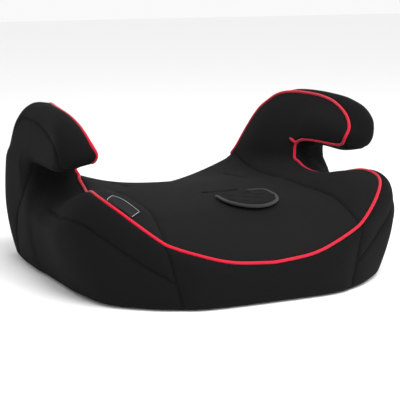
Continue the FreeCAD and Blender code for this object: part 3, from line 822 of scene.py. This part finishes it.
def make_cover():
    """Makes every panel of the cover. Returns its skin, and the line that the piping follows."""
    mesh, kinds, sides = seat_form()
    seams = seam_edges(mesh, kinds, sides)
    drawn = vertex_array(mesh)
    sewn = {key for key, codes in seams.items() if is_sewn(codes, drawn[key[0]])}
    puff_panels(mesh, sewn)
    points, normals = vertex_array(mesh), normal_array(mesh)
    crest = [key for key, (a, b) in seams.items() if (a // 2 in TOP_PANELS) != (b // 2 in TOP_PANELS)]
    chain = ordered(crest)
    for name, stands_for in STANDS_FOR.items():
        for side in ((0,) if name in ONE_PIECE else (0, 1)):
            kind = PANELS.index(name)
            panel = panel_piece(mesh, kinds, sides, kind, side)
            panel.name = f"panel_{name}" if name in ONE_PIECE else f"panel_{name}_{SIDE_NAMES[side]}"
            replaced = [node.format(SIDE_NAMES[side]) for node in stands_for]
            knit, slot = (KNIT_TOP, "cover_knit") if kind in TOP_PANELS else (KNIT_SIDE, "side_knit")
            piece = piece_from(panel.name, panel, knit, "seat", replaced)
            close_laminate(piece, LAMINATE)
    line, outward = points[chain], normals[chain]
    skin = BVHTree.FromPolygons(points.tolist(), [tuple(p.vertices) for p in mesh.polygons])
    bpy.data.meshes.remove(mesh)
    return skin, line + outward * PIPING_STAND


def make_piping(line):
    """Red piping along the crest: over each arm, and round the front from slot to slot."""
    start = int(np.argmax(line[:, 1]))
    line = np.roll(line[:-1], -start, axis=0) if np.allclose(line[0], line[-1]) else line
    # The seat's rear edge has none, so the line is opened there and runs from left to right.
    line = line[(line[:, 1] < PIPING_BACK) | (line[:, 2] > PIPING_FOOT)]
    gaps = np.linalg.norm(np.diff(line, axis=0), axis=1)
    if gaps.max() > WIDE_GAP:
        line = np.roll(line, -(int(np.argmax(gaps)) + 1), axis=0)
    if line[0, 0] > 0:
        line = line[::-1]
    ends = []
    for side in (-1, 1):
        tab = np.array(SLOT_CORNER) * (side, 1, 1)
        ends.append(int(np.argmin(np.linalg.norm(line - tab, axis=1))))
    runs = {"piping_arm_left": line[:ends[0] + 1], "piping_front": line[ends[0]:ends[1] + 1],
            "piping_arm_right": line[ends[1]:]}
    for name, run in runs.items():
        tube = tube_mesh(name, even_line(run, 2.5, 30), PIPING_RADIUS)
        piece_from(f"{name}_cord", tube, PIPING, "seat", [name])
    return [line[i] for i in ends]


def drape(skin, points, lift):
    """Moves each point to the cover's surface, and then out from it by its own lift."""
    found = []
    for point, up in zip(points, lift):
        place, normal, _, _ = skin.find_nearest(Vector(point))
        found.append(place + normal * float(up))
    return np.array(found)


def patch_mesh(name, grid):
    """A sheet through a grid of points, rows by columns, with the cloth's grain in metres."""
    rows, columns = grid.shape[:2]
    faces = [
        (i * columns + j, (i + 1) * columns + j, (i + 1) * columns + j + 1, i * columns + j + 1)
        for i in range(rows - 1) for j in range(columns - 1)
    ]
    mesh = new_mesh(name, grid.reshape(-1, 3), faces)
    along = np.zeros((rows, columns))
    across = np.zeros((rows, columns))
    along[1:] = np.cumsum(np.linalg.norm(np.diff(grid, axis=0), axis=2), axis=0)
    across[:, 1:] = np.cumsum(np.linalg.norm(np.diff(grid, axis=1), axis=2), axis=1)
    layer = mesh.uv_layers.new(name="weave")
    for loop in mesh.loops:
        i, j = divmod(loop.vertex_index, columns)
        layer.data[loop.index].uv = (along[i, j] * MM, across[i, j] * MM)
    return mesh


# Each slit's parts: the name, how far it lies to the side, its radius and its cloth.
# The first part is a near-black tube of painted shadow down the opening; the two lips are the folded edges.
SLIT_PARTS = (("painted_shadow", 0, 1.6, SHADOW), ("lip_a", 2.0, 0.9, KNIT_TOP), ("lip_b", -2.0, 0.9, KNIT_TOP))


def make_slits(skin):
    """The harness slits: each a narrow opening, darkened by a near-black tube of painted shadow, with a
    folded edge on both sides.
    """
    for name, route in SLITS.items():
        line = even_line(spline([tuple(p) for p in route], 10), 2.0, 2)
        ahead = np.gradient(line, axis=0)
        ahead /= np.linalg.norm(ahead, axis=1)[:, None]
        side = np.cross(ahead, (0, 0, 1))
        taper = np.sqrt(np.clip(1 - np.linspace(-1, 1, len(line)) ** 2, 0.02, 1))
        for part, offset, radius, material in SLIT_PARTS:
            run = drape(skin, line + side * (offset * taper)[:, None], np.full(len(line), 0.3))
            tube = tube_mesh(f"{name}_{part}", run, radius, 8, 0.6)
            piece_from(f"{name}_{part}", tube, material, "seat", [name] if not offset else [])


# ------------------------------------------------------------ flap and label
FLAP_MIDDLE, FLAP_HINGE, FLAP_HALF, FLAP_LONG = 12.5, -75.0, 34.0, 54.0
FLAP_SKEW = 0.1                             # its hinge's slope, with the right end to the rear
FLAP_RADIUS, FLAP_TIP_LIFT, FLAP_THICKNESS = 2.2, 2.6, 3.6
# The rim begins behind the hinge and goes round its right end: x from the middle, y from the hinge.
RIM_RETURN = ((12, 6.5), (22, 6), (29, 4), (32.5, 2))
SEAT_HEIGHT = 101.0                         # about the seat's height under the flap, to drape it from


def flap_half_width(share):
    """Half the flap's width, by the share of its length from the hinge: straight, then half an ellipse."""
    round_from = 1 - FLAP_HALF / FLAP_LONG
    beyond = np.maximum(share - round_from, 0) / (1 - round_from)
    return FLAP_HALF * np.sqrt(np.clip(1 - beyond**2, 0, 1))


def flap_lift(share):
    """How far the flap stands off the seat, from its hinge to its tip."""
    return 1.2 + FLAP_TIP_LIFT * share**2


def make_flap(skin):
    """The padded flap on the seat's front: a quilted pad inside a bound rim."""
    shares = 1 - (1 - np.linspace(0, 1, 34)) ** 1.6
    across = np.linspace(-1, 1, 41)
    share, turn = np.meshgrid(shares, across, indexing="ij")
    width = np.maximum(flap_half_width(share) - 1.0, 0.3)
    x = FLAP_MIDDLE + turn * width
    y = FLAP_HINGE - share * (FLAP_LONG - 1.0) + FLAP_SKEW * (x - FLAP_MIDDLE) * (1 - share)
    crease = 0.35 * np.sin(x * 0.21 + y * 0.33) + 0.3 * np.sin(y * 0.5 - x * 0.12)
    dome = 1.6 * (1 - turn**4) * np.clip(np.minimum(share, 1 - share) * 8, 0, 1)
    lift = flap_lift(share) + 3.0 + dome * 0.6 + crease
    flat = np.stack([x.ravel(), y.ravel(), np.full(x.size, SEAT_HEIGHT)], 1)
    grid = drape(skin, flat, lift.ravel()).reshape(*x.shape, 3)
    mesh = patch_mesh("flap_padding", grid)
    pad = piece_from("flap_padding", mesh, KNIT_TOP, "flap", ["flap_pad"])
    close_laminate(pad, FLAP_THICKNESS)
    # The rim follows the outline, with closer points towards its round end.
    closer = np.sin(np.linspace(0, math.pi / 2, 22)[1:])
    shares = np.concatenate([np.linspace(0, 0.45, 12), 0.45 + 0.55 * closer])
    right = np.stack([FLAP_MIDDLE + flap_half_width(shares), FLAP_HINGE - shares * FLAP_LONG], 1)
    left = right[::-1][1:] * (-1, 1) + (2 * FLAP_MIDDLE, 0)
    outline = np.concatenate([right, left])
    outline = np.concatenate([np.array(RIM_RETURN) + (FLAP_MIDDLE, FLAP_HINGE), outline])
    share = (FLAP_HINGE - outline[:, 1]) / FLAP_LONG
    outline[:, 1] += FLAP_SKEW * (outline[:, 0] - FLAP_MIDDLE) * (1 - share)
    flat = np.column_stack([outline, np.full(len(outline), SEAT_HEIGHT)])
    line = drape(skin, flat, flap_lift(share) + 2.0)
    rim = tube_mesh("flap_rim", even_line(line, 2.2, 6), FLAP_RADIUS, 12, 0.8)
    piece_from("flap_rim", rim, RIM_TAPE, "flap", ["flap_binding"])


LABEL_START, LABEL_END = (-174.5, -128, 119), (-156.5, -147, 104.5)    # on the piping, rear and front
LABEL_INWARD = (47.0, 17.0, -12.0)          # from the piping towards the seat's middle
LABEL_LONG, LABEL_WIDE, LABEL_THICKNESS = 36.0, 16.0, 0.8
LABEL_BACK, LABEL_CLEAR = 1.5, 2.2          # how far it lies to the rear of their middle, and from the piping
THREAD_INSET, THREAD_RADIUS = 0.8, 0.38


def make_label(skin):
    """The plain woven label in the front piping's seam, with a pale thread round its edge."""
    start, end, inward = (np.array(v, float) for v in (LABEL_START, LABEL_END, LABEL_INWARD))
    along = (end - start) / np.linalg.norm(end - start)
    inward = inward - along * (inward @ along)
    inward /= np.linalg.norm(inward)
    first = (start + end) / 2 - along * (LABEL_LONG / 2 + LABEL_BACK) + inward * LABEL_CLEAR

    def on_label(u, v, lift):
        flat = first + u[:, None] * along + v[:, None] * inward
        return drape(skin, flat, lift)

    u, v = np.meshgrid(np.linspace(0, LABEL_LONG, 25), np.linspace(0, LABEL_WIDE, 10), indexing="ij")
    lift = 1.6 + 1.6 * (v / LABEL_WIDE).ravel()
    grid = on_label(u.ravel(), v.ravel(), lift).reshape(*u.shape, 3)
    mesh = patch_mesh("label_tag", grid)
    tag = piece_from("label_tag", mesh, LABEL_CLOTH, "label", ["side_label"])
    close_laminate(tag, LABEL_THICKNESS)
    left, right = THREAD_INSET, LABEL_LONG - THREAD_INSET
    near, far = THREAD_INSET, LABEL_WIDE - THREAD_INSET
    corner_u = (left, left, right, right)
    corner_v = (near, far, far, near)
    u = np.concatenate([np.linspace(a, b, 16) for a, b in zip(corner_u, corner_u[1:])])
    v = np.concatenate([np.linspace(a, b, 16) for a, b in zip(corner_v, corner_v[1:])])
    edge = on_label(u, v, 1.9 + 1.6 * v / LABEL_WIDE)
    keep = np.concatenate([[True], np.linalg.norm(np.diff(edge, axis=0), axis=1) > 0.05])
    thread = tube_mesh("label_thread", edge[keep], THREAD_RADIUS, 6, 0.5)
    piece_from("label_thread", thread, THREAD, "label", [])


TAB_LONG, TAB_RADIUS, TAB_OVERLAP = 15.0, 2.6, 3.0
TAB_WAY = (-0.25, 0.88, 0.40)               # the way it points on the right, back and up


def make_tabs(ends):
    """The red tab folded over the piping's ends, at the back of each belt slot."""
    for side, side_name, end in zip((-1, 1), ("left", "right"), ends):
        away = np.array(TAB_WAY) * (side, 1, 1)
        line = [end - away * TAB_OVERLAP + away * t for t in np.linspace(0, TAB_LONG, 8)]
        tube = tube_mesh("tab", line, TAB_RADIUS, 12, 0.75)
        piece_from(f"tab_{side_name}", tube, PIPING, "seat", [f"piping_tab_{side_name}"])


# ------------------------------------------------------------ camera, light and floor
# Where the camera stands: round from the front and up, and its distance and aim in metres.
AZIMUTH, ELEVATION = math.radians(-25.0), math.radians(11.04)
DISTANCE, AIM_HEIGHT, AIM_RIGHT, AIM_UP = 1.526, 0.0882, -0.0047, -0.0037
LENS = 111.3


def make_camera():
    level = math.cos(ELEVATION)
    back = Vector((math.sin(AZIMUTH) * level, -math.cos(AZIMUTH) * level, math.sin(ELEVATION)))
    right = Vector((math.cos(AZIMUTH), math.sin(AZIMUTH), 0))
    up = back.cross(right)
    camera = bpy.data.objects.new("camera", bpy.data.cameras.new("camera"))
    bpy.context.scene.collection.objects.link(camera)
    camera.location = Vector((0, 0, AIM_HEIGHT)) + back * DISTANCE + right * AIM_RIGHT + up * AIM_UP
    camera.rotation_euler = (-back).to_track_quat("-Z", "Y").to_euler()
    camera.data.lens = LENS
    camera.data.sensor_width = 36.0
    bpy.context.scene.camera = camera


def make_light(name, place, target, width, power):
    """A square soft light, with its places and width in metres and its power in watts."""
    light = bpy.data.objects.new(name, bpy.data.lights.new(name, "AREA"))
    bpy.context.scene.collection.objects.link(light)
    light.location = place
    light.rotation_euler = (Vector(target) - Vector(place)).to_track_quat("-Z", "Y").to_euler()
    light.data.size = width
    light.data.energy = power


def make_studio():
    """A pale floor, a white surround and two soft lights."""
    floor = new_mesh("floor", [(-6, -6, 0), (6, -6, 0), (6, 6, 0), (-6, 6, 0)], [(0, 1, 2, 3)])
    material, _, _, _ = start_material("floor_paper", (0.92, 0.92, 0.92), 0.9)
    new_object("floor", floor, material)
    world = bpy.data.worlds.new("studio")
    world.use_nodes = True
    world.node_tree.nodes["Background"].inputs["Color"].default_value = (1, 1, 1, 1)
    world.node_tree.nodes["Background"].inputs["Strength"].default_value = 0.95
    bpy.context.scene.world = world
    make_light("overhead", (0.1, -1.0, 1.5), (0, 0, 0.1), 1.2, 29)
    make_light("front", (0.25, -2.2, 0.9), (0, 0, 0.1), 1.2, 16)
    bpy.context.scene.view_settings.view_transform = "Standard"


make_camera()
make_studio()
cover_skin, crest_line = make_cover()
make_tabs(make_piping(crest_line))
make_slits(cover_skin)
make_flap(cover_skin)
make_label(cover_skin)

# The CAD nodes that stay as they are, with their finish.
CAD_LOOKS = {
    "base_shell": SHELL, "arm_frame_left": SHELL, "arm_frame_right": SHELL,
    "arm_screws_left": STEEL, "arm_screws_right": STEEL, "hem_elastic": TAPE,
}
for node_name, look in CAD_LOOKS.items():
    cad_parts[node_name].data.materials.clear()
    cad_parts[node_name].data.materials.append(look)
